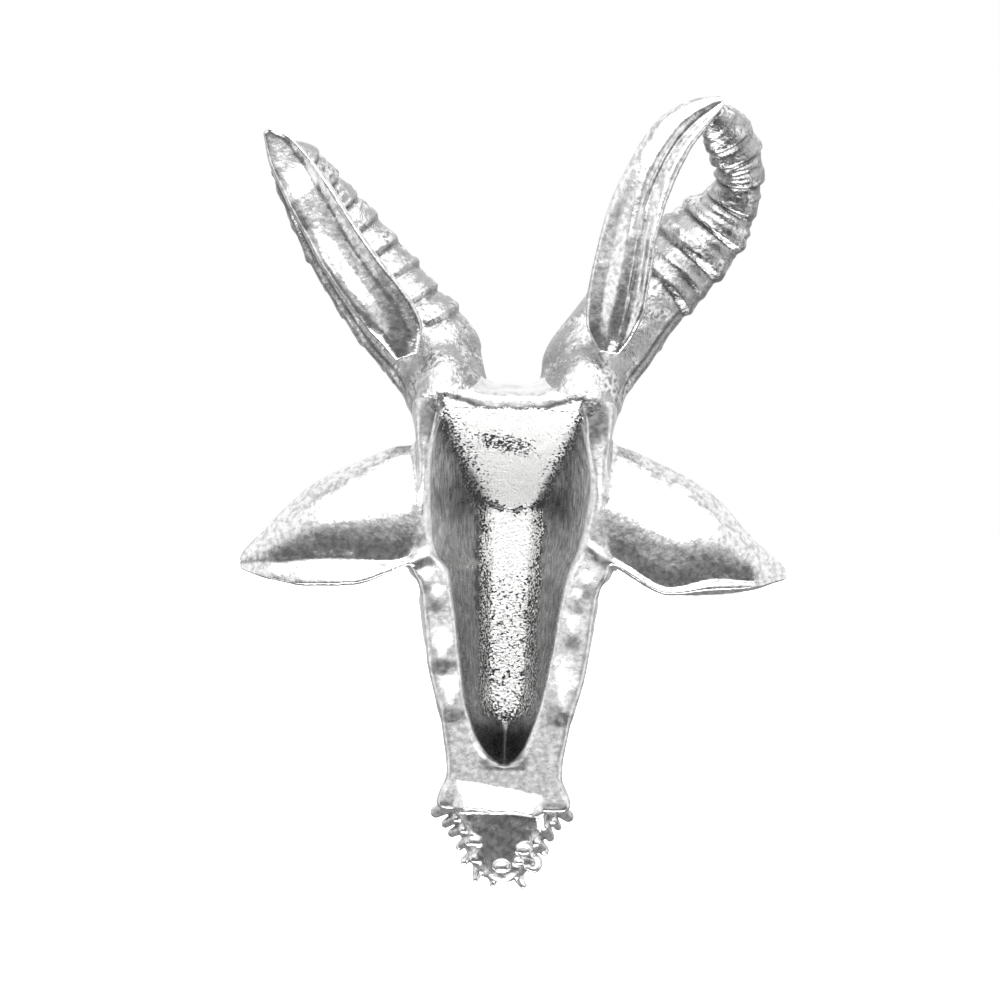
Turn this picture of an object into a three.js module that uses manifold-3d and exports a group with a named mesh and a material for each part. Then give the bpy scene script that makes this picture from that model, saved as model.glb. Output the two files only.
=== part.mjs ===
// Cast white-metal goat-head pendant, hollow behind, hung by its two looped horns.
//
// Frame, in millimetres: +Z up, the flat back of the head in the plane y = 0 and facing -Y,
// the goat's face towards +Y. Left and right are as seen from behind. The origin is the
// hanging point, midway between the two horn loops.

import * as THREE from 'three';
import { mergeVertices } from 'three/addons/utils/BufferGeometryUtils.js';
import Module from 'manifold-3d';

const wasm = await Module();
wasm.setup();

// ---------- driving dimensions ----------

const JOINT_GAP = 0.1; // solder line left between neighbouring pieces
const BACKWARDS = new THREE.Vector3(0, -1, 0);

// Head, by height z: its half-width, how far the flat back is set in, and its front surface.
// The back steps out in a ledge at the chin, z = -35.2, and turns in under it.
const HEAD = {
  top: -11.6,
  bottom: -36.0,
  rings: 30,
  frontSteps: 8,
  edgeRound: 0.35,
  sideDepth: 1.6, // from the rounded edge forward to the widest line
  halfWidth: [
    [-36.0, 1.8], [-35.3, 3.2], [-34.7, 3.7], [-33.2, 3.2], [-30.5, 3.6], [-27.5, 4.4],
    [-24.5, 4.8], [-22.9, 5.1], [-21.9, 5.75], [-20.6, 5.3], [-17.5, 5.2], [-14.5, 5.6],
    [-13.0, 5.5], [-12.2, 4.4], [-11.6, 2.4],
  ],
  backInset: [
    [-36.0, 2.4], [-35.6, 0.7], [-35.2, -0.5], [-34.7, -0.4], [-34.0, 0.0], [-12.6, 0.0],
    [-12.1, 0.35], [-11.6, 1.3],
  ],
  front: [
    [-36.0, 4.4], [-35.2, 5.9], [-33.5, 6.8], [-30.0, 7.0], [-26.0, 7.6], [-22.0, 8.5],
    [-18.0, 8.4], [-15.0, 7.0], [-13.0, 5.2], [-12.2, 4.3], [-11.6, 3.0],
  ],
  frontTaper: [[-36.0, 0.9], [-33.0, 1.0], [-28.0, 0.8], [-22.0, 0.85], [-12.0, 1.0]],
};

// Hollow in the back of the head: a trough with a sloping upper end and a scooped lower one.
const HOLLOW = {
  depth: 3.7,
  floorTop: -18.5,
  floorBottom: -30.3,
  floorHalfWidth: 1.05,
  floorPoint: 0.5, // half-width at the scooped lower end
  floorFlare: 3, // how much wider the floor would get over its whole length
  levels: 5,
  rim: [
    [-3.7, -13.0], [-4.3, -14.0], [-4.8, -16.0], [-4.9, -18.0], [-4.5, -20.7], [-3.6, -22.2],
    [-3.1, -24.5], [-2.7, -27.0], [-2.3, -29.5], [-1.9, -30.9], [-1.3, -31.9], [-0.7, -32.5],
    [0.0, -32.7],
  ],
};

const EYE = { x: 4.3, y: 5.0, z: -22.0, radius: 1.05, detail: 12 };
const NOSTRIL = { x: 1.5, y: 6.5, z: -33.9, radius: 0.55, detail: 8 };
const MOUTH = { z: -35.05, width: 10, height: 0.35, depth: 1.2 };

// Horns: a ridged front limb rises from the boss and curls over backwards at the top.
// Each station is x, y, z, half-width across the limb, half-depth front to back.
const HORN = {
  ridges: 10,
  ringsPerRidge: 4,
  points: 16,
  ridgeHeight: 0.08,
  right: [
    [3.7, 2.3, -12.4, 2.1, 1.5],
    [4.1, 2.6, -10.6, 2.6, 1.7],
    [5.2, 3.0, -9.0, 2.6, 1.7],
    [7.0, 3.4, -6.5, 2.5, 1.6],
    [8.9, 3.6, -4.5, 2.4, 1.5],
    [10.3, 3.5, -3.0, 2.25, 1.4],
    [11.3, 3.2, -1.8, 1.9, 1.3],
    [12.0, 2.6, -0.6, 1.4, 1.2],
    [12.15, 1.9, 0.5, 1.35, 1.1],
    [11.75, 1.1, 1.7, 1.5, 1.0],
    [11.1, 0.2, 2.7, 1.4, 0.8],
    [10.4, -0.6, 3.4, 0.8, 0.5],
  ],
  left: [
    [-3.8, 2.3, -12.4, 2.1, 1.5],
    [-4.2, 2.6, -11.1, 2.5, 1.7],
    [-4.9, 2.9, -9.7, 2.75, 1.7],
    [-6.3, 3.3, -8.2, 2.7, 1.65],
    [-8.3, 3.6, -5.7, 2.6, 1.5],
    [-10.2, 3.3, -3.2, 2.25, 1.4],
    [-11.4, 2.5, -1.5, 1.85, 1.2],
    [-12.4, 1.2, -0.1, 1.35, 1.0],
    [-13.3, -0.2, 1.0, 0.6, 0.5],
  ],
};

// Returning limbs: smooth channels that come back down behind the ridged limbs.
// Each station is x, y, z, half-width across the limb, depth of the channel.
const STRAP = {
  rings: 26,
  points: 18,
  wall: 0.5,
  lip: 0.35,
  right: [
    [10.9, -1.1, 4.15, 0.3, 0.1],
    [10.2, -1.3, 3.8, 0.7, 0.3],
    [9.2, -1.6, 3.1, 1.05, 0.5],
    [8.2, -1.9, 2.0, 1.25, 0.65],
    [7.1, -2.2, 0.0, 1.35, 0.75],
    [6.05, -2.2, -3.0, 1.5, 0.8],
    [5.7, -1.9, -5.0, 1.6, 0.75],
    [5.4, -1.5, -7.0, 1.65, 0.65],
    [5.15, -0.9, -8.6, 1.4, 0.4],
    [5.1, -0.2, -9.9, 0.6, 0.1],
  ],
  left: [
    [-14.0, -0.8, 1.75, 0.25, 0.1],
    [-13.3, -1.1, 1.0, 0.75, 0.3],
    [-12.5, -1.5, -0.2, 1.1, 0.5],
    [-11.6, -1.9, -1.6, 1.3, 0.65],
    [-9.9, -2.2, -4.3, 1.4, 0.75],
    [-8.5, -2.0, -6.2, 1.45, 0.7],
    [-7.3, -1.6, -7.7, 1.5, 0.6],
    [-6.5, -1.0, -8.9, 1.4, 0.45],
    [-6.0, -0.1, -10.4, 0.7, 0.1],
  ],
};

// Round bosses on the crown that the two limbs of each horn are soldered to.
const BOSS = {
  detail: 16,
  left: { centre: [-3.95, 1.35, -11.95], radii: [1.75, 1.5, 2.1] },
  right: { centre: [3.8, 1.35, -11.95], radii: [1.85, 1.5, 2.2] },
};

// Ears: leaf-shaped, backs convex, lower edge rolled. Outlines run from the root to the tip.
const EAR = {
  rings: 18,
  points: 20,
  thickness: 0.55,
  edgeShare: 0.4, // part of the thickness that is left at the edges
  rootX: 4.2,
  left: {
    tipX: 15.1,
    upper: [[4.2, -15.2], [6.0, -15.2], [8.0, -15.9], [11.0, -17.4], [13.5, -19.8], [15.1, -21.7]],
    lower: [[4.2, -21.2], [6.0, -21.9], [8.5, -23.0], [11.0, -23.2], [13.2, -22.9], [15.1, -22.1]],
    bulge: [[4.2, 1.6], [9.0, 1.9], [13.0, 1.0], [15.1, 0.15]],
  },
  right: {
    tipX: 15.4,
    upper: [[4.2, -14.6], [6.0, -14.9], [8.0, -15.7], [11.0, -17.3], [13.5, -19.8], [15.4, -21.6]],
    lower: [[4.2, -20.6], [6.0, -21.5], [8.8, -23.2], [11.0, -23.1], [13.5, -22.7], [15.4, -22.0]],
    bulge: [[4.2, 1.6], [9.0, 1.9], [13.0, 1.0], [15.4, 0.15]],
  },
  midline: [[4.2, 1.6], [10.0, 1.7], [15.4, 2.2]],
};

// Beard: a short tapering tuft under the chin, edged with rows of small curled locks.
const BEARD = {
  top: -36.0,
  bottom: -38.8,
  rings: 8,
  points: 20,
  halfWidth: [[-38.8, 0.9], [-38.0, 1.8], [-37.0, 2.6], [-36.0, 3.5]],
  midline: [[-38.8, 1.9], [-37.0, 2.6], [-36.0, 3.0]],
  halfDepth: [[-38.8, 0.7], [-37.0, 1.3], [-36.0, 1.7]],
  lockRadii: [0.5, 0.6, 0.7],
  lockDetail: 8,
  wrap: 0.9, // how far the outer locks sit forward of the middle ones
  rows: [
    { z: -35.5, sag: 1.1, halfWidth: 3.6, y: 1.7, count: 7 },
    { z: -36.8, sag: 0.7, halfWidth: 2.6, y: 1.6, count: 5 },
    { z: -38.0, sag: 0.3, halfWidth: 1.7, y: 1.6, count: 4 },
    { z: -39.0, sag: 0.1, halfWidth: 1.0, y: 1.7, count: 3 },
  ],
};

// ---------- geometry helpers ----------

const range = (count) => Array.from({ length: count }, (_, i) => i);

// A smooth curve through [position, value] keys that never overshoots them, and is flat
// beyond the first and the last.
function profile(keys) {
  const rise = range(keys.length - 1).map((i) => (
    (keys[i + 1][1] - keys[i][1]) / (keys[i + 1][0] - keys[i][0])
  ));
  const slope = keys.map((_, i) => {
    const before = rise[Math.max(i - 1, 0)];
    const after = rise[Math.min(i, rise.length - 1)];
    return before * after > 0 ? (2 * before * after) / (before + after) : 0;
  });
  return (position) => {
    const next = keys.findIndex((key) => key[0] > position);
    const i = next < 0 ? keys.length - 2 : Math.max(next - 1, 0);
    const width = keys[i + 1][0] - keys[i][0];
    const t = THREE.MathUtils.clamp((position - keys[i][0]) / width, 0, 1);
    const ease = t * t * (3 - 2 * t);
    const bend = slope[i] * t * (1 - t) ** 2 - slope[i + 1] * t ** 2 * (1 - t);
    return keys[i][1] * (1 - ease) + keys[i + 1][1] * ease + bend * width;
  };
}

// A closed skin over rings of equally many points, with a flat fan across each end.
function loft(rings) {
  const points = rings[0].length;
  const centres = [rings[0], rings.at(-1)].map((ring) => (
    ring.reduce((sum, p) => sum.add(p), new THREE.Vector3()).divideScalar(points)
  ));
  const vertices = [...rings.flat(), ...centres];
  const faces = [];
  for (const i of range(rings.length - 1)) {
    for (const k of range(points)) {
      const a = i * points + k;
      const b = i * points + (k + 1) % points;
      faces.push([a, b, b + points], [a, b + points, a + points]);
    }
  }
  const end = (rings.length - 1) * points;
  for (const k of range(points)) {
    const next = (k + 1) % points;
    faces.push([next, k, vertices.length - 2], [end + k, end + next, vertices.length - 1]);
  }
  return facesOutwards(vertices, faces);
}

// Builds the mesh with its faces turned outwards, whichever way the rings run.
function facesOutwards(vertices, faces) {
  const volume = faces.reduce((sum, [a, b, c]) => (
    sum + vertices[a].dot(new THREE.Vector3().crossVectors(vertices[b], vertices[c]))
  ), 0);
  const index = faces.flatMap((face) => (volume > 0 ? face : face.toReversed()));
  const geometry = new THREE.BufferGeometry();
  geometry.setAttribute('position', new THREE.Float32BufferAttribute(
    vertices.flatMap((p) => [p.x, p.y, p.z]), 3,
  ));
  geometry.setIndex(index);
  return geometry;
}

// A skin along stations of [x, y, z, first size, second size]. section(first, second, turn, s)
// gives the offset sideways and backwards, at s of 0 to 1 along the path.
function sweep({ stations, rings, points, section }) {
  const curve = new THREE.CatmullRomCurve3(stations.map(([x, y, z]) => new THREE.Vector3(x, y, z)));
  const [first, second] = [3, 4].map((column) => (
    profile(stations.map((station, i) => [i / (stations.length - 1), station[column]]))
  ));
  return loft(range(rings + 1).map((i) => {
    const s = i / rings;
    const t = curve.getUtoTmapping(s);
    const along = curve.getTangent(t);
    const side = new THREE.Vector3().crossVectors(along, BACKWARDS).normalize();
    const out = new THREE.Vector3().crossVectors(side, along).normalize();
    return range(points).map((k) => {
      const [u, v] = section(first(t), second(t), (k / points) * 2 * Math.PI, s);
      return curve.getPoint(t).addScaledVector(side, u).addScaledVector(out, v);
    });
  }));
}

function ellipsoid(centre, radii, detail) {
  const geometry = new THREE.SphereGeometry(1, detail, detail / 2);
  return geometry.scale(...radii).translate(...centre);
}

function solid(geometry) {
  const bare = geometry.clone();
  bare.deleteAttribute('normal');
  bare.deleteAttribute('uv');
  const merged = mergeVertices(bare, 1e-4);
  return new wasm.Manifold(new wasm.Mesh({
    numProp: 3,
    vertProperties: new Float32Array(merged.attributes.position.array),
    triVerts: new Uint32Array(merged.index.array),
  }));
}

function geometryOf(body) {
  const { vertProperties, triVerts } = body.getMesh();
  const geometry = new THREE.BufferGeometry();
  geometry.setAttribute('position', new THREE.BufferAttribute(vertProperties, 3));
  geometry.setIndex(new THREE.BufferAttribute(triVerts, 1));
  geometry.computeVertexNormals();
  return geometry;
}

// ---------- pieces ----------

// The head without its hollow: a flat back, rounded edges and a full face. A larger grow
// gives the same shape with every surface moved out, for cutting neighbours back.
function headSkin(grow = 0) {
  const halfWidth = profile(HEAD.halfWidth);
  const inset = profile(HEAD.backInset);
  const front = profile(HEAD.front);
  const taper = profile(HEAD.frontTaper);
  const arc = range(HEAD.frontSteps + 1).map((k) => (k / HEAD.frontSteps) * (Math.PI / 2));
  return loft(range(HEAD.rings + 1).map((i) => {
    const z = THREE.MathUtils.lerp(HEAD.bottom, HEAD.top, i / HEAD.rings);
    const w = halfWidth(z) + grow;
    const back = inset(z) - grow;
    const widest = back + HEAD.edgeRound + HEAD.sideDepth;
    const reach = front(z) + grow - widest;
    const side = [
      [w - HEAD.edgeRound, back],
      [w, back + HEAD.edgeRound],
      ...arc.map((a) => [w * Math.cos(a) ** taper(z), widest + reach * Math.sin(a)]),
    ];
    const mirrored = side.slice(0, -1).toReversed().map(([x, y]) => [-x, y]);
    const lift = (i === HEAD.rings ? grow : 0) - (i === 0 ? grow : 0);
    return [...side, ...mirrored].map(([x, y]) => new THREE.Vector3(x, y, z + lift));
  }));
}

// The space inside the hollow, from just behind the flat back down to its floor.
function hollowSpace() {
  const bottom = HOLLOW.rim.at(-1);
  const right = HOLLOW.rim.slice(0, -1).toReversed().map(([x, z]) => [-x, z]);
  const rim = [...HOLLOW.rim.slice(0, -1), bottom, ...right];
  const floor = rim.map(([x, z]) => {
    const along = THREE.MathUtils.clamp((z - bottom[1]) / (HOLLOW.rim[0][1] - bottom[1]), 0, 1);
    const half = Math.min(HOLLOW.floorHalfWidth, HOLLOW.floorPoint + HOLLOW.floorFlare * along);
    const floorZ = THREE.MathUtils.lerp(HOLLOW.floorBottom, HOLLOW.floorTop, along);
    return [x === 0 ? 0 : Math.sign(x) * half, floorZ];
  });
  return loft(range(HOLLOW.levels + 2).map((level) => {
    const t = (level - 1) / HOLLOW.levels;
    return rim.map(([x, z], k) => new THREE.Vector3(
      THREE.MathUtils.lerp(x, floor[k][0], t),
      HOLLOW.depth * t,
      THREE.MathUtils.lerp(z, floor[k][1], t),
    ));
  }));
}

function ball({ x, y, z, radius, detail }, side) {
  return solid(ellipsoid([side * x, y, z], [radius, radius, radius], detail));
}

function headShell() {
  let head = solid(headSkin()).subtract(solid(hollowSpace()));
  for (const side of [-1, 1]) {
    head = head.add(ball(EYE, side)).subtract(ball(NOSTRIL, side));
  }
  const mouth = new THREE.BoxGeometry(MOUTH.width, MOUTH.depth, MOUTH.height);
  return head.subtract(solid(mouth.translate(0, profile(HEAD.front)(MOUTH.z), MOUTH.z)));
}

function boss({ centre, radii }, grow = 0) {
  return solid(ellipsoid(centre, radii.map((r) => r + grow), BOSS.detail));
}

// The ridged limb: an oval section whose size swells once for every growth ring.
function hornLimb(stations, grow = 0) {
  return solid(sweep({
    stations,
    rings: HORN.ridges * HORN.ringsPerRidge,
    points: HORN.points,
    section: (wide, deep, turn, s) => {
      const swell = 1 + HORN.ridgeHeight * Math.abs(Math.sin(s * HORN.ridges * Math.PI));
      return [(wide * swell + grow) * Math.cos(turn), (deep * swell + grow) * Math.sin(turn)];
    },
  }));
}

// The returning limb: a crescent section, convex towards the horn and hollow behind.
function strapLimb(stations) {
  return solid(sweep({
    stations,
    rings: STRAP.rings,
    points: STRAP.points,
    section: (wide, hollow, turn) => {
      const across = Math.cos(turn);
      const dip = 1 - across * across;
      const back = -hollow * dip;
      const front = back - STRAP.lip - STRAP.wall * dip;
      return [wide * across, turn < Math.PI ? back : front];
    },
  }));
}

// An ear: leaf-shaped sections across its length, hollow in front and convex behind.
function earLeaf({ tipX, upper, lower, bulge }, side) {
  const top = profile(upper);
  const bottom = profile(lower);
  const puff = profile(bulge);
  const middle = profile(EAR.midline);
  return solid(loft(range(EAR.rings + 1).map((i) => {
    const x = THREE.MathUtils.lerp(EAR.rootX, tipX, i / EAR.rings);
    const half = (top(x) - bottom(x)) / 2;
    const thin = Math.min(EAR.thickness, half);
    return range(EAR.points).map((k) => {
      const turn = (k / EAR.points) * 2 * Math.PI;
      const across = Math.cos(turn);
      const dip = 1 - across * across;
      const back = middle(x) - puff(x) * dip;
      const front = back + thin * (EAR.edgeShare + dip);
      const y = turn < Math.PI ? back : front;
      return new THREE.Vector3(side * x, y, (top(x) + bottom(x)) / 2 + half * across);
    });
  })));
}

function beardTuft() {
  const wide = profile(BEARD.halfWidth);
  const middle = profile(BEARD.midline);
  const deep = profile(BEARD.halfDepth);
  const core = loft(range(BEARD.rings + 1).map((i) => {
    const z = THREE.MathUtils.lerp(BEARD.bottom, BEARD.top, i / BEARD.rings);
    return range(BEARD.points).map((k) => {
      const turn = (k / BEARD.points) * 2 * Math.PI;
      const x = wide(z) * Math.cos(turn);
      return new THREE.Vector3(x, middle(z) + deep(z) * Math.sin(turn), z);
    });
  }));
  const locks = BEARD.rows.flatMap(({ z, sag, halfWidth, y, count }) => range(count).map((k) => {
    const across = (2 * k) / (count - 1) - 1;
    const edge = across * across;
    const centre = [halfWidth * across, y + BEARD.wrap * edge, z - sag * (1 - edge)];
    return solid(ellipsoid(centre, BEARD.lockRadii, BEARD.lockDetail));
  }));
  return locks.reduce((tuft, lock) => tuft.add(lock), solid(core));
}

// ---------- assembly ----------

function metal(color, roughness) {
  return new THREE.MeshStandardMaterial({ color, roughness, metalness: 1 });
}

const POLISHED = metal(0xe6e6e4, 0.22);
const SATIN = metal(0xd2d2d0, 0.4);
const CAST = metal(0xc6c6c4, 0.5);

const pendant = new THREE.Group();

function addPiece(name, body, material) {
  const mesh = new THREE.Mesh(geometryOf(body), material);
  mesh.name = name;
  pendant.add(mesh);
}

const headCutter = solid(headSkin(JOINT_GAP));

addPiece('head_shell', headShell(), CAST);
addPiece('beard', beardTuft().subtract(headCutter), SATIN);

for (const [name, side] of [['left', -1], ['right', 1]]) {
  const bossCutter = boss(BOSS[name], JOINT_GAP);
  const horn = hornLimb(HORN[name]).subtract(headCutter).subtract(bossCutter);
  const hornCutter = hornLimb(HORN[name], JOINT_GAP);
  const strap = strapLimb(STRAP[name]).subtract(bossCutter).subtract(hornCutter);
  addPiece(`${name}_horn_boss`, boss(BOSS[name]).subtract(headCutter), SATIN);
  addPiece(`${name}_horn`, horn, SATIN);
  addPiece(`${name}_horn_strap`, strap.subtract(headCutter), POLISHED);
  addPiece(`${name}_ear`, earLeaf(EAR[name], side).subtract(headCutter), POLISHED);
}

export default pendant;
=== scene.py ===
"""Silver goat-head pendant: fine cast surfaces, finishes, light and camera on the CAD frame."""
import math

import bpy
import numpy as np
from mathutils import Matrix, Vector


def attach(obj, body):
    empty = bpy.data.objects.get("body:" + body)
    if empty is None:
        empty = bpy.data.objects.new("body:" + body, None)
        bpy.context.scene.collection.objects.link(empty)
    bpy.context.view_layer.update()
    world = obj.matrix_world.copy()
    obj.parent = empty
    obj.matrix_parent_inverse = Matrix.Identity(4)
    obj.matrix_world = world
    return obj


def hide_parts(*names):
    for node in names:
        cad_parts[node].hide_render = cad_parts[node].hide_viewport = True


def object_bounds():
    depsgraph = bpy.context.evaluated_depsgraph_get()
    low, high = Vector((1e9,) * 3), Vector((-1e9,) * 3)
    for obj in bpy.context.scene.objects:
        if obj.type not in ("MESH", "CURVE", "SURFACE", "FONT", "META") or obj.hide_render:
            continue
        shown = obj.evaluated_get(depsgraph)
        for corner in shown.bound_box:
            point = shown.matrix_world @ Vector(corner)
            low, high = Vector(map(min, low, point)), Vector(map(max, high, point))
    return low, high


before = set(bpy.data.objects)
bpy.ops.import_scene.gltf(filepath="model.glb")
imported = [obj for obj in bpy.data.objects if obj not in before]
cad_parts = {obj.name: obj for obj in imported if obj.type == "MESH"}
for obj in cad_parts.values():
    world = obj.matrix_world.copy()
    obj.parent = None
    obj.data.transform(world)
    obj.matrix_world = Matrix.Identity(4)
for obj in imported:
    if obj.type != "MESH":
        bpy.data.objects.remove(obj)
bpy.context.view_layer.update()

import openvdb
from mathutils import Matrix, Vector

# ---------- sizes, in millimetres in the part's frame ----------

MM = 0.001
VOXEL = 0.08          # step of the lattice that the surfaces are meshed on
BAND = 14             # steps that a distance is known on each side of a surface
FAR = VOXEL * BAND
LAP = 0.12            # how far neighbouring pieces reach into each other at a joint
UNEVENNESS = [(1.3, 0.035), (0.45, 0.014)]      # size and height of the swells of cast metal
HAIR = {"width": 0.36, "length": 1.7, "height": 0.085, "bend": 0.35, "bend_size": 2.2}
MARGIN = 6            # lattice steps added round a piece's distances
BACKWARDS = np.array([0.0, -1.0, 0.0])

# Head, by height z: half-width, how far the back is set in, front surface, roundness.
HEAD_TOP, HEAD_BOTTOM = -11.6, -36.0
HEAD_HALF_WIDTH = [
    (-36.0, 1.8), (-35.5, 3.0), (-34.8, 3.7), (-33.2, 3.2), (-30.5, 3.55), (-27.5, 4.35),
    (-24.5, 4.75), (-22.9, 5.0), (-21.9, 5.45), (-20.6, 5.25), (-17.5, 5.15), (-14.5, 5.4),
    (-13.0, 5.4), (-12.2, 4.4), (-11.6, 2.4),
]
HEAD_BACK = [(-36.0, 2.6), (-35.5, 2.3), (-35.3, 1.9), (-35.18, 0.15), (-35.0, 0.04),
             (-34.6, 0.0), (-12.5, 0.0), (-12.1, 0.3), (-11.6, 1.3)]
HEAD_FRONT = [
    (-36.0, 4.4), (-35.2, 5.6), (-33.5, 6.3), (-30.0, 6.5), (-26.0, 7.1), (-22.0, 7.9),
    (-18.0, 8.1), (-15.0, 6.8), (-13.0, 5.1), (-12.2, 4.2), (-11.6, 3.0),
]
HEAD_ROUNDNESS = [(-36.0, 0.9), (-33.0, 1.0), (-28.0, 0.8), (-22.0, 0.85), (-12.0, 1.0)]
EDGE_ROUND = 0.35
SIDE_DEPTH = 1.6      # from the rounded edge forward to the widest line of the head

# Hollow: half-width of its rim to the left and to the right, and depth of its floor.
HOLLOW_TOP = -13.0
HOLLOW_LEFT = [
    (-36.0, -1.5), (-32.75, 0.0), (-32.6, 0.55), (-32.3, 0.95), (-31.8, 1.4), (-30.5, 2.0),
    (-29.0, 2.4), (-27.0, 2.7), (-25.0, 3.0), (-23.5, 3.3), (-22.0, 3.6), (-21.2, 4.25),
    (-20.0, 4.65), (-18.0, 4.8), (-16.5, 4.8), (-15.0, 4.65), (-13.5, 4.15), (-13.0, 3.9),
]
HOLLOW_RIGHT = [
    (-36.0, -1.5), (-32.75, 0.0), (-32.6, 0.5), (-32.3, 0.85), (-31.8, 1.15), (-30.5, 1.6),
    (-29.0, 2.0), (-27.0, 2.4), (-25.0, 2.75), (-23.5, 3.0), (-22.0, 3.4), (-20.5, 4.0),
    (-19.0, 4.35), (-17.0, 4.55), (-15.5, 4.35), (-14.5, 4.1), (-13.5, 3.85), (-13.0, 3.6),
]
HOLLOW_FLOOR = [
    (-36.0, -3.0), (-32.75, 0.0), (-32.3, 1.2), (-31.6, 2.2), (-30.8, 2.9), (-29.8, 3.2),
    (-27.0, 3.35), (-18.5, 3.7),
]
FLOOR_HALF_WIDTH = [(-31.5, 0.02), (-30.6, 0.25), (-30.0, 0.6), (-28.5, 0.95), (-18.5, 1.1)]
UPPER_WALL_SLOPE = 3.7 / 5.5
UPPER_WALL_FOOT = -18.5
WALL_BOW = -0.15
VALLEY_ROUND = 0.06
FLOOR_ROUND, CORNER_ROUND, RIM_ROUND = 0.35, 0.3, 0.14
LEAST_DEPTH, LEAST_WALL = 0.6, 0.2      # keep the walls of the scoop's end from going vertical
STEEPEST = 5.0

# Painted shade in the hollow's creases, in x and z: lines and their half-widths; and round dark spots.
PAINTED_SHADE_CREASES = [
    ((-4.1, -13.7), (-1.7, -18.3), 0.7), ((3.8, -13.5), (1.6, -18.3), 0.5),
    ((-1.9, -19.0), (-1.8, -24.0), 0.25),
]
GRAINY_CREASE = [((-1.9, -18.0), (0.0, -18.7)), ((0.0, -18.7), (1.8, -18.2))]
DARK_SPOTS = [((-3.2, -18.0), 1.5), ((2.9, -18.2), 1.3)]
# Painted shade: the scoop at the lower end of the hollow darkens between these heights.
PAINTED_SHADE_SCOOP = (-29.6, -31.2)
# How strong the painted shade in the creases and on the brim is, and how dark the round spots are.
CREASE_PAINTED_SHADE, DARK_SPOT_STRENGTH, BRIM_PAINTED_SHADE = 0.8, 0.55, 0.75

# Low facets on the flat rim that lean upwards: x, top, bottom, half-width, height.
RIM_FACETS = [
    (-4.6, -21.8, -22.6, 0.4, 0.09), (-4.05, -22.9, -23.5, 0.4, 0.09),
    (-3.6, -25.2, -26.9, 0.6, 0.2), (-3.15, -27.5, -29.5, 0.6, 0.22),
    (4.25, -21.9, -22.6, 0.35, 0.08), (3.8, -22.9, -23.4, 0.33, 0.07),
    (3.55, -24.2, -25.4, 0.35, 0.1), (3.1, -26.5, -29.6, 0.6, 0.22),
]
CHIN_LEDGE = {"left": -2.4, "right": 1.8, "top": -33.95, "bottom": -35.15, "height": 0.6,
              "top_lean": -0.16, "bottom_lean": -0.07}

# Face, in the order in which its features are added (1) or cut away (-1): how softly each runs
# in, and its capsules (ends, radii) or ellipsoids (centre, radii) for the side where x is above 0.
FACE_BEFORE_EYES = {
    "bridge": (1, 1.0, [((0, 5.9, -19.5), (0, 4.9, -32.5), 2.35, 1.75)]),
    "forelock": (1, 0.8, [((0, 5.6, -15.2), (1.9, 2.3, 2.9))]),
    "brow": (1, 0.8, [((2.9, 7.0, -19.6), (5.0, 3.6, -20.4), 0.75, 0.6)]),
    "orbit": (1, 0.5, [((5.0, 3.4, -20.8), (5.15, 1.6, -21.95), 0.6, 0.42)]),
    "cheek": (1, 1.0, [((4.1, 3.4, -23.9), (2.7, 4.0, -30.8), 0.75, 0.55)]),
    "socket": (-1, 0.5, [((5.35, 5.3, -21.9), (1.1, 1.45, 1.05))]),
}
FACE_AFTER_EYES = {
    "lip": (1, 0.6, [((0, 4.6, -33.6), (2.9, 2.1, 1.5))]),
    "wing": (1, 0.4, [((1.9, 6.1, -32.3), (1.2, 6.5, -33.8), 0.6, 0.42)]),
    "nostril": (-1, 0.2, [((1.8, 6.9, -32.8), (1.0, 7.1, -33.6), 0.4, 0.3)]),
    "cleft": (-1, 0.12, [((0, 7.0, -33.3), (0, 6.4, -34.8), 0.14, 0.12)]),
    "chin": (1, 0.3, [((0, 3.9, -35.4), (2.5, 1.9, 0.75))]),
    "mouth": (-1, 0.15, [((0, 6.7, -34.85), (1.7, 6.0, -34.75), 0.2, 0.2),
                         ((1.7, 6.0, -34.75), (3.5, 3.9, -34.0), 0.2, 0.12)]),
}
EYE = {
    "lids": ((4.45, 5.4, -21.9), (1.2, 1.5, 1.05)), "opening": ((5.4, 5.6, -21.95), (0.9, 1.1, 0.55)),
    "ball": ((4.5, 5.5, -21.9), (1.0, 1.05, 0.9)), "edge_round": 0.12, "lid_round": 0.2,
    "pupil": {"from_x": 5.3, "y": 5.6, "z": -21.9, "half_length": 0.4, "half_height": 0.13},
}
BALD = {"eye": (5.2, -21.9), "eye_reach": (2.2, 1.4), "muzzle": (-28.0, -31.5)}

# Horns and straps: x, y, z, half-width across, half-depth or depth of the channel.
RIGHT_HORN = [
    (3.7, 2.3, -12.4, 2.1, 1.5), (4.1, 2.6, -10.6, 2.6, 1.7), (5.2, 3.0, -9.0, 2.6, 1.7),
    (7.0, 3.4, -6.5, 2.5, 1.6), (8.9, 3.6, -4.5, 2.4, 1.5), (10.3, 3.5, -3.0, 2.25, 1.4),
    (11.3, 3.2, -1.8, 1.9, 1.3), (12.0, 2.6, -0.6, 1.4, 1.2), (12.15, 1.9, 0.5, 1.3, 1.1),
    (11.75, 1.1, 1.7, 1.45, 1.0), (11.1, 0.2, 2.7, 1.35, 0.8), (10.4, -0.6, 3.4, 0.8, 0.5),
]
LEFT_HORN = [
    (-3.8, 2.3, -12.4, 2.1, 1.5), (-4.2, 2.6, -11.1, 2.5, 1.7), (-4.9, 2.9, -9.7, 2.75, 1.7),
    (-6.3, 3.3, -8.2, 2.7, 1.65), (-8.3, 3.6, -5.7, 2.55, 1.5), (-10.2, 3.3, -3.2, 2.25, 1.4),
    (-11.4, 2.5, -1.5, 1.85, 1.2), (-12.3, 1.2, -0.1, 1.55, 1.0), (-13.1, 0.0, 0.9, 0.75, 0.6),
    (-13.45, -0.95, 1.2, 0.4, 0.4),
]
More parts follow.
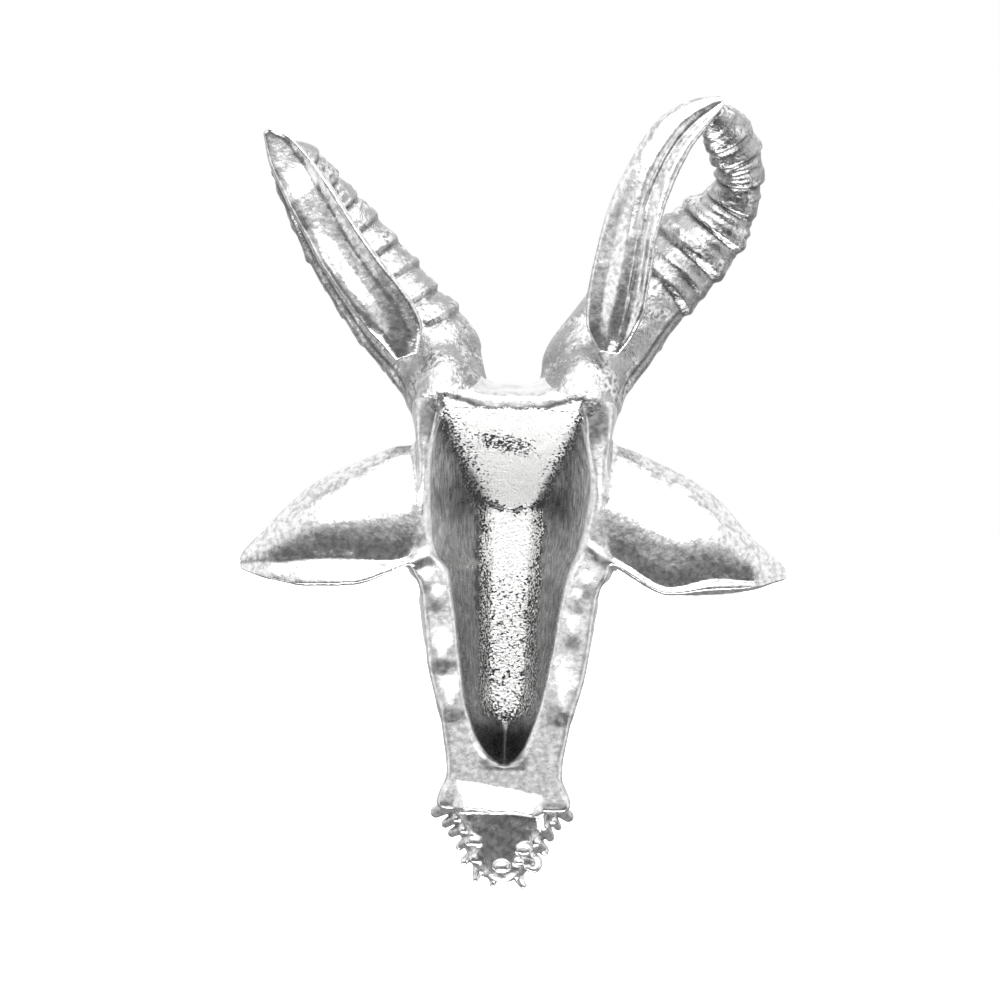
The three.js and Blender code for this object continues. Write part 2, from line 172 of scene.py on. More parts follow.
RIGHT_STRAP = [
    (10.9, -1.4, 4.1, 0.3, 0.1), (10.2, -1.55, 3.75, 0.7, 0.3), (9.2, -1.75, 3.05, 1.05, 0.5),
    (8.2, -1.9, 2.0, 1.25, 0.6), (7.1, -2.0, 0.0, 1.35, 0.7), (6.05, -2.0, -3.0, 1.5, 0.75),
    (5.7, -1.85, -5.0, 1.6, 0.75), (5.4, -1.5, -7.0, 1.65, 0.65), (5.15, -0.9, -8.6, 1.4, 0.4),
    (5.1, -0.2, -9.9, 0.6, 0.1),
]
LEFT_STRAP = [
    (-14.0, -1.6, 1.75, 0.2, 0.1), (-13.3, -1.6, 1.0, 0.8, 0.3), (-12.5, -1.6, -0.2, 1.15, 0.4),
    (-11.6, -1.85, -1.6, 1.3, 0.45), (-9.9, -1.8, -4.3, 1.4, 0.6), (-8.5, -1.7, -6.2, 1.45, 0.6),
    (-7.3, -1.45, -7.7, 1.5, 0.55), (-6.5, -1.0, -8.9, 1.4, 0.4), (-6.0, -0.1, -10.4, 0.7, 0.1),
]
# Across a strap, from its right edge at -1 to its left edge at 1: height in channel depths,
# for the upper and for the lower half of the strap.
RIGHT_STRAP_SECTION = (
    [(-1.0, -0.1), (-0.75, -0.05), (-0.45, -0.45), (-0.28, -0.75), (-0.1, -0.4), (0.15, -0.15),
     (0.5, -0.3), (0.85, -0.65), (1.0, -0.9)],
    [(-1.0, -0.05), (-0.9, 0.0), (-0.6, -0.6), (-0.45, -0.65), (-0.3, -0.4), (-0.05, -0.3),
     (0.5, -1.0), (0.75, -1.1), (1.0, -1.15)],
)
LEFT_STRAP_SECTION = (
    [(-1.0, -0.05), (-0.88, 0.0), (-0.65, -0.5), (-0.4, -0.85), (0.0, -0.9), (0.5, -0.9),
     (0.85, -1.0), (1.0, -1.2)],
    [(-1.0, -0.05), (-0.88, 0.0), (-0.65, -0.4), (-0.3, -0.95), (0.1, -1.0), (0.4, -0.8),
     (0.6, -0.6), (1.0, -0.7)],
)
STRAP_WALL = 0.55
RIDGE_HEIGHT = 0.3
HORN_LIP_DEPTH = 0.12

BOSSES = {
    "left_horn_boss": ((-3.95, 1.35, -12.1), (1.8, 1.6, 2.3)),
    "right_horn_boss": ((3.8, 1.35, -12.1), (1.9, 1.6, 2.4)),
}

# Ears, by distance x from the middle: upper edge, fold above the hem, lower edge, bulge.
EAR_ROOT = 4.2
EAR_WALL = 0.5
EAR_MIDLINE = [(4.2, 1.65), (10.0, 1.75), (15.4, 2.2)]
EAR_ARCH = [(0.0, 0.0), (0.1, 0.4), (0.3, 0.78), (0.6, 1.0), (0.8, 0.94), (1.0, 0.78)]
LEFT_EAR = {
    "tip": 15.08,
    "bulge": [(4.2, 1.6), (9.0, 1.9), (13.0, 1.05), (15.08, 0.2)],
    "upper": [
        (4.2, -15.2), (6.0, -15.2), (8.0, -15.9), (11.0, -17.4), (13.5, -19.8), (14.6, -20.95),
        (15.0, -21.5), (15.08, -21.85),
    ],
    "fold": [(4.2, -20.6), (6.5, -21.6), (10.0, -21.55), (12.5, -21.8), (15.08, -22.0)],
    "lower": [
        (4.2, -21.2), (6.0, -21.9), (8.5, -23.0), (11.0, -23.15), (13.2, -22.85), (14.6, -22.45),
        (15.0, -22.25), (15.08, -22.05),
    ],
    "hem": [(0.0, 0.78), (0.85, 1.0), (0.96, 0.85), (1.0, 0.3)],
}
RIGHT_EAR = {
    "tip": 15.38,
    "bulge": [(4.2, 1.6), (9.0, 1.9), (13.0, 1.3), (15.38, 0.2)],
    "upper": [
        (4.2, -14.6), (6.0, -14.9), (8.0, -15.7), (11.0, -17.3), (13.5, -19.8), (14.9, -20.95),
        (15.3, -21.35), (15.38, -21.65),
    ],
    "fold": [
        (4.2, -20.3), (6.5, -21.6), (8.8, -22.7), (11.5, -22.1), (13.5, -22.2), (15.38, -21.9),
    ],
    "lower": [
        (4.2, -20.6), (6.0, -21.8), (8.8, -23.15), (11.0, -23.1), (13.5, -22.7), (14.9, -22.2),
        (15.3, -22.05), (15.38, -21.95),
    ],
    "hem": [(0.0, 0.74), (0.2, 0.9), (0.45, 0.93), (0.8, 0.7), (1.0, 0.2)],
}

# Beard: core by height z with half-width and back and front surfaces, then locks in x and z.
BEARD_CORE = [
    (-39.3, 0.6, 2.0, 4.1), (-39.0, 1.2, 1.87, 4.4), (-38.4, 1.7, 1.7, 4.6), (-37.5, 2.1, 1.48, 4.8),
    (-36.6, 2.5, 1.3, 4.9), (-35.8, 3.0, 1.12, 4.9), (-35.0, 3.4, 1.0, 4.7), (-34.4, 3.2, 1.4, 4.4),
]
BEARD_COMMAS = [
    ((-2.9, -35.1), (-3.75, -35.6), 0.36), ((-2.6, -35.8), (-3.2, -36.25), 0.28),
    ((-2.2, -36.4), (-2.8, -36.75), 0.3), ((-1.9, -37.1), (-2.4, -37.5), 0.27),
    ((-1.6, -37.9), (-2.1, -38.3), 0.27), ((2.8, -34.95), (3.65, -35.65), 0.38),
    ((2.1, -35.4), (2.2, -36.0), 0.28), ((2.3, -36.1), (2.65, -36.8), 0.32),
    ((2.8, -35.8), (3.1, -36.25), 0.27), ((1.9, -37.0), (2.35, -37.6), 0.3),
    ((-3.5, -34.95), (-2.6, -34.6), 0.2), ((3.3, -34.9), (2.5, -34.7), 0.2),
]
BEARD_LUMPS = [
    (-1.5, -36.95, 0.5), (-1.4, -38.0, 0.45), (0.0, -38.35, 0.45), (1.2, -37.35, 0.5),
    (0.95, -38.1, 0.32),
]
BEARD_TIPS = [
    (-1.4, -39.35, -0.1), (-0.95, -39.1, 0.1), (-0.45, -39.6, -0.05), (0.1, -39.2, 0.1),
    (0.5, -39.2, -0.1), (0.95, -39.6, 0.4),
]
BEARD_RING = (1.7, -38.2, 0.32, 0.22)      # x, z, radius and thickness of a rolled-up lock
TIP_RADII = (0.4, 0.2)
LOCK_ROUND, TIP_ROUND = 0.08, 0.06
FRONT_OF_BEARD = 6.3
BEARD_BOX = ((-4.6, 0.0, -40.0), (4.6, 6.4, -34.0))

# How softly each piece runs into those before it, and which pieces it stops at.
SIDES = ("left", "right")
SOFTNESS = {"horn_boss": 1.1, "horn": 0.9, "ear": 0.6, "horn_strap": 0.2}
BLEND_RADIUS = {f"{side}_{part}": radius for part, radius in SOFTNESS.items() for side in SIDES}
BLEND_RADIUS["beard"] = 0.3
HOSTS = {"head_shell": [], "beard": ["head_shell"]}
for side in SIDES:
    boss, horn = f"{side}_horn_boss", f"{side}_horn"
    HOSTS[boss] = ["head_shell"]
    HOSTS[horn] = ["head_shell", boss]
    HOSTS[f"{side}_ear"] = ["head_shell"]
    HOSTS[f"{side}_horn_strap"] = ["head_shell", boss, horn]


# ---------- curves and distances ----------

def profile(keys):
    """A smooth curve through (position, value) keys that never overshoots them."""
    at, value = np.array(keys, float).T
    rise = np.diff(value) / np.diff(at)
    before = np.concatenate([rise[:1], rise])
    after = np.concatenate([rise, rise[-1:]])
    same_way = before * after > 0
    total = np.where(same_way, before + after, 1.0)
    slope = np.where(same_way, 2 * before * after / total, 0.0)

    def curve(position):
        i = np.clip(np.searchsorted(at, position, side="right") - 1, 0, len(rise) - 1)
        width = at[i + 1] - at[i]
        t = np.clip((position - at[i]) / width, 0, 1)
        ease = t * t * (3 - 2 * t)
        bend = slope[i] * t * (1 - t) ** 2 - slope[i + 1] * t ** 2 * (1 - t)
        return value[i] * (1 - ease) + value[i + 1] * ease + bend * width

    return curve


def smooth_step(low, high, value):
    t = np.clip((value - low) / (high - low), 0, 1)
    return t * t * (3 - 2 * t)


def smooth_min(a, b, radius):
    """The smaller of two distances, rounded where they are within radius of each other."""
    near = np.maximum(radius - np.abs(a - b), 0) / radius
    return np.minimum(a, b) - near * near * radius / 4


def smooth_max(a, b, radius):
    return -smooth_min(-a, -b, radius)


def ellipsoid(at, centre, radii):
    scaled = [(at[k] - centre[k]) / radii[k] for k in range(3)]
    one = np.sqrt(sum(s * s for s in scaled))
    two = np.sqrt(sum((s / r) ** 2 for s, r in zip(scaled, radii))) + 1e-6
    return one * (one - 1) / two


def capsule(at, start, end, start_radius, end_radius):
    along = np.subtract(end, start)
    offset = [at[k] - start[k] for k in range(3)]
    t = sum(offset[k] * along[k] for k in range(3)) / np.dot(along, along)
    t = np.clip(t, 0, 1)
    away = np.sqrt(sum((offset[k] - t * along[k]) ** 2 for k in range(3)))
    return away - start_radius - t * (end_radius - start_radius)


def lattice_noise(points, step, seed):
    """Smooth noise from -1 to 1 at an array of points, from a seeded lattice of that step."""
    size = 32
    table = np.random.default_rng(seed).uniform(-1, 1, (size, size, size))
    place = np.asarray(points) / step
    cell = np.floor(place).astype(int)
    t = place - cell
    t = t * t * (3 - 2 * t)
    total = 0
    for corner in np.ndindex(2, 2, 2):
        weight = np.prod(np.where(np.array(corner), t, 1 - t), axis=-1)
        i, j, k = np.moveaxis((cell + corner) % size, -1, 0)
        total = total + weight * table[i, j, k]
    return total


def stacked(*parts):
    return np.stack(np.broadcast_arrays(*parts), axis=-1)


# ---------- closed skins ----------

def loft(rings):
    """Points and faces of a closed skin over an array of rings, with a fan on each end."""
    count, points = rings.shape[:2]
    centres = rings[[0, -1]].mean(axis=1)
    vertices = np.concatenate([rings.reshape(-1, 3), centres]).astype(np.float32)
    i, k = np.meshgrid(np.arange(count - 1), np.arange(points), indexing="ij")
    a = (i * points + k).ravel()
    b = (i * points + (k + 1) % points).ravel()
    quads = np.stack([a, b, b + points, a + points], axis=1)
    ring = np.arange(points)
    after = (ring + 1) % points
    end = (count - 1) * points
    first = np.stack([after, ring, np.full(points, len(vertices) - 2)], axis=1)
    last = np.stack([end + ring, end + after, np.full(points, len(vertices) - 1)], axis=1)
    return vertices, quads.astype(np.uint32), np.concatenate([first, last]).astype(np.uint32)


def sweep(stations, rings, points, section):
    """A skin along stations; section(wide, deep, turn, s) gives offsets sideways and back."""
    stations = np.array(stations, float)
    steps = np.linalg.norm(np.diff(stations[:, :3], axis=0), axis=1)
    chord = np.concatenate([[0], np.cumsum(steps)])
    s = np.linspace(0, 1, rings + 1)
    x, y, z, wide, deep = (profile(list(zip(chord, column)))(s * chord[-1]) for column in stations.T)
    centre = np.stack([x, y, z], axis=1)
    along = np.gradient(centre, axis=0)
    along /= np.linalg.norm(along, axis=1, keepdims=True)
    side = np.cross(along, BACKWARDS)
    side /= np.linalg.norm(side, axis=1, keepdims=True)
    out = np.cross(side, along)
    turn = np.linspace(0, 2 * math.pi, points, endpoint=False)[None, :]
    u, v = section(wide[:, None], deep[:, None], turn, s[:, None])
    return loft(centre[:, None] + side[:, None] * u[..., None] + out[:, None] * v[..., None])


class Field:
    """Distances in millimetres to a closed surface on the lattice, negative inside."""

    def __init__(self, low, values):
        self.low = np.array(low)
        self.values = values

    def crop(self, low, shape):
        """The same distances over another box, far away wherever they aren't known."""
        out = np.full(shape, FAR, np.float32)
        there, here = self.overlap(low, shape)
        out[there] = self.values[here]
        return out

    def overlap(self, low, shape):
        """Slices of what another box and this one share: in that box, and in this one."""
        start = np.maximum(low, self.low)
        stop = np.maximum(np.minimum(np.add(low, shape), self.low + self.values.shape), start)
        there = tuple(slice(a, b) for a, b in zip(start - low, stop - low))
        here = tuple(slice(a, b) for a, b in zip(start - self.low, stop - self.low))
        return there, here


def field_of_skin(skin):
    vertices, quads, triangles = skin
    lattice = openvdb.createLinearTransform(voxelSize=VOXEL)
    grid = openvdb.FloatGrid.createLevelSetFromPolygons(
        vertices, triangles=triangles, quads=quads, transform=lattice, halfWidth=float(BAND))
    low, high = grid.evalActiveVoxelBoundingBox()
    values = np.empty([high[k] - low[k] + 1 for k in range(3)], np.float32)
    grid.copyToArray(values, ijk=low)
    return Field(low, values)


def field_of_rule(rule, low_mm, high_mm):
    """Distances from a rule(x, y, z) over a box, cut off at the band like the others."""
    low, shape = lattice_box(low_mm, high_mm)
    values = np.clip(rule(*coordinates(low, shape)), -FAR, FAR).astype(np.float32)
    return Field(low, np.ascontiguousarray(values))


def lattice_box(low_mm, high_mm):
    """First lattice point and number of points of a box with the band round it."""
    low = np.floor(np.array(low_mm) / VOXEL).astype(int) - BAND
    high = np.ceil(np.array(high_mm) / VOXEL).astype(int) + BAND
    return low, high - low + 1


def coordinates(low, shape):
    axes = [np.arange(low[k], low[k] + shape[k], dtype=np.float32) * VOXEL for k in range(3)]
    return np.meshgrid(*axes, indexing="ij", sparse=True)


# ---------- head ----------

def head_skin():
    z = np.linspace(HEAD_BOTTOM, HEAD_TOP, 260)[:, None]
    w = profile(HEAD_HALF_WIDTH)(z)
    back = profile(HEAD_BACK)(z)
    arc = np.linspace(0, math.pi / 2, 40)[None, :]
    widest = back + EDGE_ROUND + SIDE_DEPTH
    reach = profile(HEAD_FRONT)(z) - widest
    corner = np.linspace(0, math.pi / 2, 5)[None, :]
    edge_x = w - EDGE_ROUND * (1 - np.sin(corner))
    edge_y = back + EDGE_ROUND * (1 - np.cos(corner))
    side_x = w * np.cos(arc) ** profile(HEAD_ROUNDNESS)(z)
    side_y = widest + reach * np.sin(arc)
    x = np.concatenate([edge_x, side_x], axis=1)
    y = np.concatenate([edge_y, side_y], axis=1)
    x = np.concatenate([x, -x[:, -2::-1]], axis=1)
    y = np.concatenate([y, y[:, -2::-1]], axis=1)
    return loft(np.stack([x, y, np.broadcast_to(z, x.shape)], axis=2))


def hollow_depth(x, z):
    """How deep the hollow in the back is at x, z; below zero outside its rim."""
    rim = np.where(x < 0, profile(HOLLOW_LEFT)(z), profile(HOLLOW_RIGHT)(z))
    floor = profile(HOLLOW_FLOOR)(z)
    drop = np.maximum(floor, LEAST_DEPTH)
    steep = drop / np.maximum(rim - profile(FLOOR_HALF_WIDTH)(z), LEAST_WALL)
    side = (rim - np.sqrt(x * x + VALLEY_ROUND ** 2)) * steep
    bow = np.sin(np.clip(side / drop, 0, 1) * math.pi)
    upper = (HOLLOW_TOP - z) * UPPER_WALL_SLOPE
    return smooth_min(smooth_min(side + WALL_BOW * bow, floor, FLOOR_ROUND), upper, CORNER_ROUND)


def back_relief(x, z):
    """Height of the facets on the rim and of the ledge under the chin above the flat back."""
    height = 0
    for centre, top, bottom, half, rise in RIM_FACETS:
        ramp = smooth_step(top + 0.2, bottom, z) * smooth_step(bottom - 0.9, bottom, z)
        height = height + rise * ramp * np.exp(-((x - centre) / half) ** 2)
    ledge = CHIN_LEDGE
    top = ledge["top"] + ledge["top_lean"] * x
    bottom = ledge["bottom"] + ledge["bottom_lean"] * x + 0.07 * np.sin(3.1 * x)
    ramp = np.clip((top - z) / (top - bottom), 0, 1) ** 1.2 * smooth_step(bottom - 0.25, bottom, z)
    across = smooth_step(ledge["left"] - 0.5, ledge["left"] + 0.3, x)
    across = across * smooth_step(ledge["right"] + 0.5, ledge["right"] - 0.3, x)
    return height + ledge["height"] * ramp * across


def shape_of(at, sizes):
    """Distances to a capsule of four sizes or to an ellipsoid of two."""
    return capsule(at, *sizes) if len(sizes) == 4 else ellipsoid(at, *sizes)


def with_features(d, at, features):
    """Adds features to distances d or cuts them away, in their order."""
    for way, softness, shapes in features.values():
        feature = np.min([shape_of(at, sizes) for sizes in shapes], axis=0)
        d = smooth_min(d, feature, softness) if way > 0 else smooth_max(d, -feature, softness)
    return d


def with_eye(d, at):
    """Adds an almond opening between two lids, and a ball with a slot for its pupil."""
    x, y, z = at
    lids, opening, ball = (ellipsoid(at, *EYE[part]) for part in ("lids", "opening", "ball"))
    d = smooth_min(d, smooth_max(lids, -opening, EYE["edge_round"]), EYE["lid_round"])
    pupil = EYE["pupil"]
    length = np.abs(y - pupil["y"]) - pupil["half_length"]
    slot = np.maximum(length, np.abs(z - pupil["z"]) - pupil["half_height"])
    slot = np.maximum(slot, pupil["from_x"] - x)
    return np.minimum(d, np.maximum(ball, -slot))


def face_features(d, at):
    """The head's distances with the brow, eyes, nose, mouth and cheeks, alike on both sides."""
    mirrored = (np.abs(at[0]), at[1], at[2])
    d = with_features(d, mirrored, FACE_BEFORE_EYES)
    d = with_eye(d, mirrored)
    return with_features(d, mirrored, FACE_AFTER_EYES)


def head_field():
    """The head without its hollow."""
    base = field_of_skin(head_skin())
    low = base.low - 2
    shape = tuple(np.add(base.values.shape, 4))
    at = coordinates(low, shape)
    x, y, z = at
    d = face_features(base.crop(low, shape), at)
    d = d - back_relief(x, z) * smooth_step(2.0, 0.6, y)
    return Field(low, np.clip(d, -FAR, FAR).astype(np.float32))


def hollow_field(low, shape):
    """Distances to the hollow in the head, negative in it."""
    x, y, z = coordinates(low, shape)
    depth = hollow_depth(x, z)
    slope_x, slope_z = np.gradient(depth[:, 0, :], VOXEL)
    steepness = np.minimum(np.sqrt(1 + slope_x ** 2 + slope_z ** 2), STEEPEST)[:, None, :]
    return np.clip((y - depth) / steepness, -FAR, FAR)


# ---------- horns, straps, ears, beard ----------

HORNS = {
    "left_horn": {
        "stations": LEFT_HORN, "outer": -1, "seed": 11, "phase": (10.4, 0.0, 0.1),
        "lip_to": 0.8, "ridged_from": (0.1, 0.2),
    },
    "right_horn": {
        "stations": RIGHT_HORN, "outer": 1, "seed": 23, "phase": (1.5, 8.0, 0.25),
        "lip_to": 0.42, "ridged_from": (0.3, 0.42),
    },
}


def horn_skin(horn):
    """A horn with growth rings in front and, past its smooth root, behind."""
    seed = horn["seed"]
    first, second, start = horn["phase"]

    def section(wide, deep, turn, s):
        across, back = np.cos(turn), np.sin(turn)
        outside = across * horn["outer"]
        spot = stacked(4 * s, across, back)
        phase = first * s + second * s * s + start + 0.1 * lattice_noise(spot + seed, 0.9, seed)
        saw = phase - np.floor(phase)
        body = smooth_step(0.0, 0.24, saw) * (1 - 0.85 * saw ** 1.3) - 0.5
        knob = 1 + 0.4 * lattice_noise(spot * 3.0 + seed, 1.0, seed + 2)
        lines = 0.3 * lattice_noise(stacked(phase * 6, across * 0.8, back * 0.8), 1.0, seed + 1)
        rear = smooth_step(-0.3, 0.2, back)
        rear_ridges = smooth_step(*horn["ridged_from"], s)
        if horn["outer"] < 0:
            rear_ridges = rear_ridges * smooth_step(0.0, -0.5, outside)
        strength = 1 - rear * (1 - rear_ridges)
        strength = strength * smooth_step(0.03, 0.12, s) * (1 - 0.7 * smooth_step(0.88, 0.98, s))
        relief = RIDGE_HEIGHT * strength * (body * knob + lines)
        lip = np.exp(-((outside - 0.88) / 0.045) ** 2) * rear
        relief = relief - HORN_LIP_DEPTH * lip * smooth_step(horn["lip_to"], horn["lip_to"] - 0.1, s)
        return (wide + relief) * across, (deep + relief) * back

    return sweep(horn["stations"], 700, 160, section)


def strap_skin(stations, sections):
    """A leaf-shaped channel with lips, its section given by heights across it."""
    upper, lower = (profile(keys) for keys in sections)

    def section(wide, hollow, turn, s):
        across = np.cos(turn)
        down = smooth_step(0.35, 0.6, s)
        back = hollow * (upper(across) * (1 - down) + lower(across) * down)
        front = np.minimum(-hollow * (1 - across * across), back) - STRAP_WALL
        middle = 0.5 * (back + front)
        half = 0.5 * (back - front) * np.sqrt(np.clip(1 - across ** 10, 0, 1))
        return wide * across, np.where(turn < math.pi, middle + half, middle - half)

    return sweep(stations, 420, 160, section)


def ear_skin(ear, side):
    """A leaf convex behind and hollow in front, with a hem along its lower edge."""
    x = np.linspace(EAR_ROOT, ear["tip"], 320)[:, None]
    top, fold, bottom = (profile(ear[key])(x) for key in ("upper", "fold", "lower"))
    turn = np.linspace(0, 2 * math.pi, 200, endpoint=False)[None, :]
    across = np.cos(turn)
    z = (top + bottom) / 2 + (top - bottom) / 2 * across
    arch = profile(EAR_ARCH)(np.clip((top - z) / np.maximum(top - fold, 0.05), 0, 1))
    hem = profile(ear["hem"])(np.clip((fold - z) / np.maximum(fold - bottom, 0.05), 0, 1))
    back = -profile(ear["bulge"])(x) * np.where(z > fold, arch, hem)
    wall = EAR_WALL * np.sqrt(np.clip(1 - across ** 10, 0, 1)) * np.minimum((top - bottom) / 1.5, 1)
    y = profile(EAR_MIDLINE)(x) + np.where(turn < math.pi, back, back + wall)
    return loft(np.stack(np.broadcast_arrays(side * x, y, z), axis=2))


def tip_path(x, z, hook):
    """A short pointed lock that hangs and turns aside at its end."""
    t = np.linspace(0, 1, 24)
    return np.stack([x * (0.85 + 0.15 * t) + hook * t ** 3, 2.9 - 0.5 * t, z + 1.3 * (1 - t)], axis=1)


def ring_path(x, z, radius):
    """A lock that rolls up on itself."""
    turn = np.linspace(math.radians(130), math.radians(-170), 30)
    return np.stack([x + radius * np.cos(turn), 2.0 + 0.1 * turn, z + radius * np.sin(turn)], axis=1)


def lock_skin(path, root, end):
    """A round lock along a path, thickest in its middle."""
    along = np.gradient(path, axis=0)
    along /= np.linalg.norm(along, axis=1, keepdims=True)
    side = np.cross(along, BACKWARDS)
    side /= np.linalg.norm(side, axis=1, keepdims=True)
    out = np.cross(side, along)
    s = np.linspace(0, 1, len(path))[:, None]
    radius = (root + (end - root) * s) * (0.8 + 0.35 * np.sin(math.pi * s))
    turn = np.linspace(0, 2 * math.pi, 24, endpoint=False)[None, :]
    u, v = radius * np.cos(turn), radius * np.sin(turn)
    return loft(path[:, None] + side[:, None] * u[..., None] + out[:, None] * v[..., None])


def beard_core_skin():
    z = np.linspace(BEARD_CORE[0][0], BEARD_CORE[-1][0], 120)[:, None]
    wide, back, front = (
        profile([(key[0], key[k]) for key in BEARD_CORE])(z) for k in (1, 2, 3)
    )
    turn = np.linspace(0, 2 * math.pi, 96, endpoint=False)[None, :]
    across, deep = (np.sign(f(turn)) * np.abs(f(turn)) ** 0.8 for f in (np.cos, np.sin))
    y = (back + front) / 2 + (front - back) / 2 * deep
    return loft(np.stack(np.broadcast_arrays(-wide * across, y, z), axis=2))


def beard_shape(at, depth_at):
    """Distances to the locks on one face of the beard, whose surface is at depth_at(x, z)."""
    d = FAR
    for (x0, z0), (x1, z1), radius in BEARD_COMMAS:
        start, end = (x0, depth_at(x0, z0), z0), (x1, depth_at(x1, z1), z1)
        d = np.minimum(d, capsule(at, start, end, radius, 0.85 * radius))
    for x, z, half in BEARD_LUMPS:
        d = np.minimum(d, ellipsoid(at, (x, depth_at(x, z) - 0.06, z), (half, 0.22, 0.75 * half)))
    return d


def beard_back(x, z):
    """Where the back surface of the beard's core lies."""
    wide, back = (profile([(key[0], key[k]) for key in BEARD_CORE])(z) for k in (1, 2))
    return float(back + 1.2 * min(abs(x) / wide, 1.15) ** 3)


def beard_field():
    low, shape = lattice_box(*BEARD_BOX)
    x, y, z = coordinates(low, shape)
    d = field_of_skin(beard_core_skin()).crop(low, shape)
    for facing in (y, FRONT_OF_BEARD - y):
        d = smooth_min(d, beard_shape((x, facing, z), beard_back), LOCK_ROUND)
    ring_x, ring_z, radius, thick = BEARD_RING
    locks = [(tip_path(*tip), *TIP_RADII) for tip in BEARD_TIPS]
    locks.append((ring_path(ring_x, ring_z, radius), thick, thick))
    for path, root, end in locks:
        lock = field_of_skin(lock_skin(path, root, end)).crop(low, shape)
        d = smooth_min(d, lock, TIP_ROUND)
    return Field(low, d.astype(np.float32))


def boss_field(name):
    centre, radii = BOSSES[name]
    low, high = np.subtract(centre, radii), np.add(centre, radii)
    return field_of_rule(lambda *at: ellipsoid(at, centre, radii), low, high)


def component_fields():
    return {
        "head_shell": head_field(),
        "beard": beard_field(),
        "left_horn_boss": boss_field("left_horn_boss"),
        "right_horn_boss": boss_field("right_horn_boss"),
        "left_horn": field_of_skin(horn_skin(HORNS["left_horn"])),
        "right_horn": field_of_skin(horn_skin(HORNS["right_horn"])),
        "left_horn_strap": field_of_skin(strap_skin(LEFT_STRAP, LEFT_STRAP_SECTION)),
        "right_horn_strap": field_of_skin(strap_skin(RIGHT_STRAP, RIGHT_STRAP_SECTION)),
        "left_ear": field_of_skin(ear_skin(LEFT_EAR, -1)),
        "right_ear": field_of_skin(ear_skin(RIGHT_EAR, 1)),
    }


# ---------- from distances to pieces ----------

def whole_pendant(fields):
    """All components blended into one surface, with the hollow cut into the head."""
    low = np.min([f.low for f in fields.values()], axis=0) - MARGIN
    high = np.max([f.low + f.values.shape for f in fields.values()], axis=0) + MARGIN
    whole = Field(low, np.full(high - low, FAR, np.float32))
    head = fields["head_shell"]
    here = whole.overlap(head.low, head.values.shape)[1]
    whole.values[here] = head.values
    for name, radius in BLEND_RADIUS.items():
        part = fields[name]
        here = whole.overlap(part.low, part.values.shape)[1]
        whole.values[here] = smooth_min(whole.values[here], part.values, radius)
    here = whole.overlap(head.low, head.values.shape)[1]
    hollow = hollow_field(head.low, head.values.shape)
    whole.values[here] = smooth_max(whole.values[here], -hollow, RIM_ROUND)
    return whole


def share(name, fields, low, shape):
    """Distances to a component where it stops at its hosts."""
    mine = fields[name].crop(low, shape)
    for host in HOSTS[name]:
        mine = np.maximum(mine, -fields[host].crop(low, shape))
    return mine


def piece_distances(name, fields, whole):
    """One piece's share of the whole, lapped a little under its neighbours."""
    own = fields[name]
    low = own.low - MARGIN
    shape = tuple(np.add(own.values.shape, 2 * MARGIN))
    skin = whole.crop(low, shape)
    mine = share(name, fields, low, shape)
    theirs = np.full(shape, FAR, np.float32)
    for other, field in fields.items():
        common = field.values[field.overlap(low, shape)[1]]
        if other != name and common.size:
            theirs = np.minimum(theirs, share(other, fields, low, shape))
    between = (mine - theirs) / 2
    dive = np.maximum(between, 0) ** 2
    return low, np.maximum(skin + dive, between - LAP), skin


def blurred(values, steps):
    """A box blur along all three axes."""
    width = 2 * steps + 1
    for axis in range(3):
        margin = [(steps + 1, steps) if k == axis else (0, 0) for k in range(3)]
        total = np.cumsum(np.pad(values, margin, mode="edge"), axis=axis, dtype=np.float64)
        upper = np.take(total, range(width, total.shape[axis]), axis=axis)
        lower = np.take(total, range(0, total.shape[axis] - width), axis=axis)
        values = ((upper - lower) / width).astype(np.float32)
    return values


def sample(values, low, points):
    """Values of a lattice array at points, by trilinear interpolation."""
    place = points / VOXEL - low
    cell = np.clip(np.floor(place).astype(int), 0, np.array(values.shape) - 2)
    t = place - cell
    total = 0
    for corner in np.ndindex(2, 2, 2):
        weight = np.prod(np.where(np.array(corner), t, 1 - t), axis=-1)
        i, j, k = np.moveaxis(cell + corner, -1, 0)
        total = total + weight * values[i, j, k]
    return total


def hair(points):
    """Height of the locks of hair modelled on the front and sides of the head."""
    x, y, z = points.T
    bend = HAIR["bend"] * lattice_noise(points, HAIR["bend_size"], 31)
    spot = np.stack([(x + bend) / HAIR["width"], y / HAIR["width"], z / HAIR["length"]], axis=1)
    eye = np.hypot(y - BALD["eye"][0], z - BALD["eye"][1])
    bald = smooth_step(*BALD["muzzle"], z) + smooth_step(*BALD["eye_reach"], eye)
    cover = smooth_step(1.2, 2.4, y) * np.clip(1 - bald, 0, 1)
    cover = cover * smooth_step(0.3, 0.8, y - hollow_depth(x, z))
    return HAIR["height"] * cover * lattice_noise(spot, 1.0, 32)


def no_relief(points):
    return np.zeros(len(points))


def unevenness(points, skin, low, relief):
    """How the swells of the casting, and the relief(points) on them, move points of its skin."""
    slope = []
    for axis in range(3):
        step = np.zeros(3)
        step[axis] = VOXEL
        slope.append(sample(skin, low, points + step) - sample(skin, low, points - step))
    normal = np.stack(slope, axis=1)
    normal /= np.linalg.norm(normal, axis=1, keepdims=True) + 1e-9
    swell = sum(
        height * lattice_noise(points, size, seed) for seed, (size, height) in enumerate(UNEVENNESS)
    )
    flat = smooth_step(-0.97, -0.995, normal[:, 1])
    swell = swell * (1 - 0.8 * flat) + relief(points)
    return normal * swell[:, None]


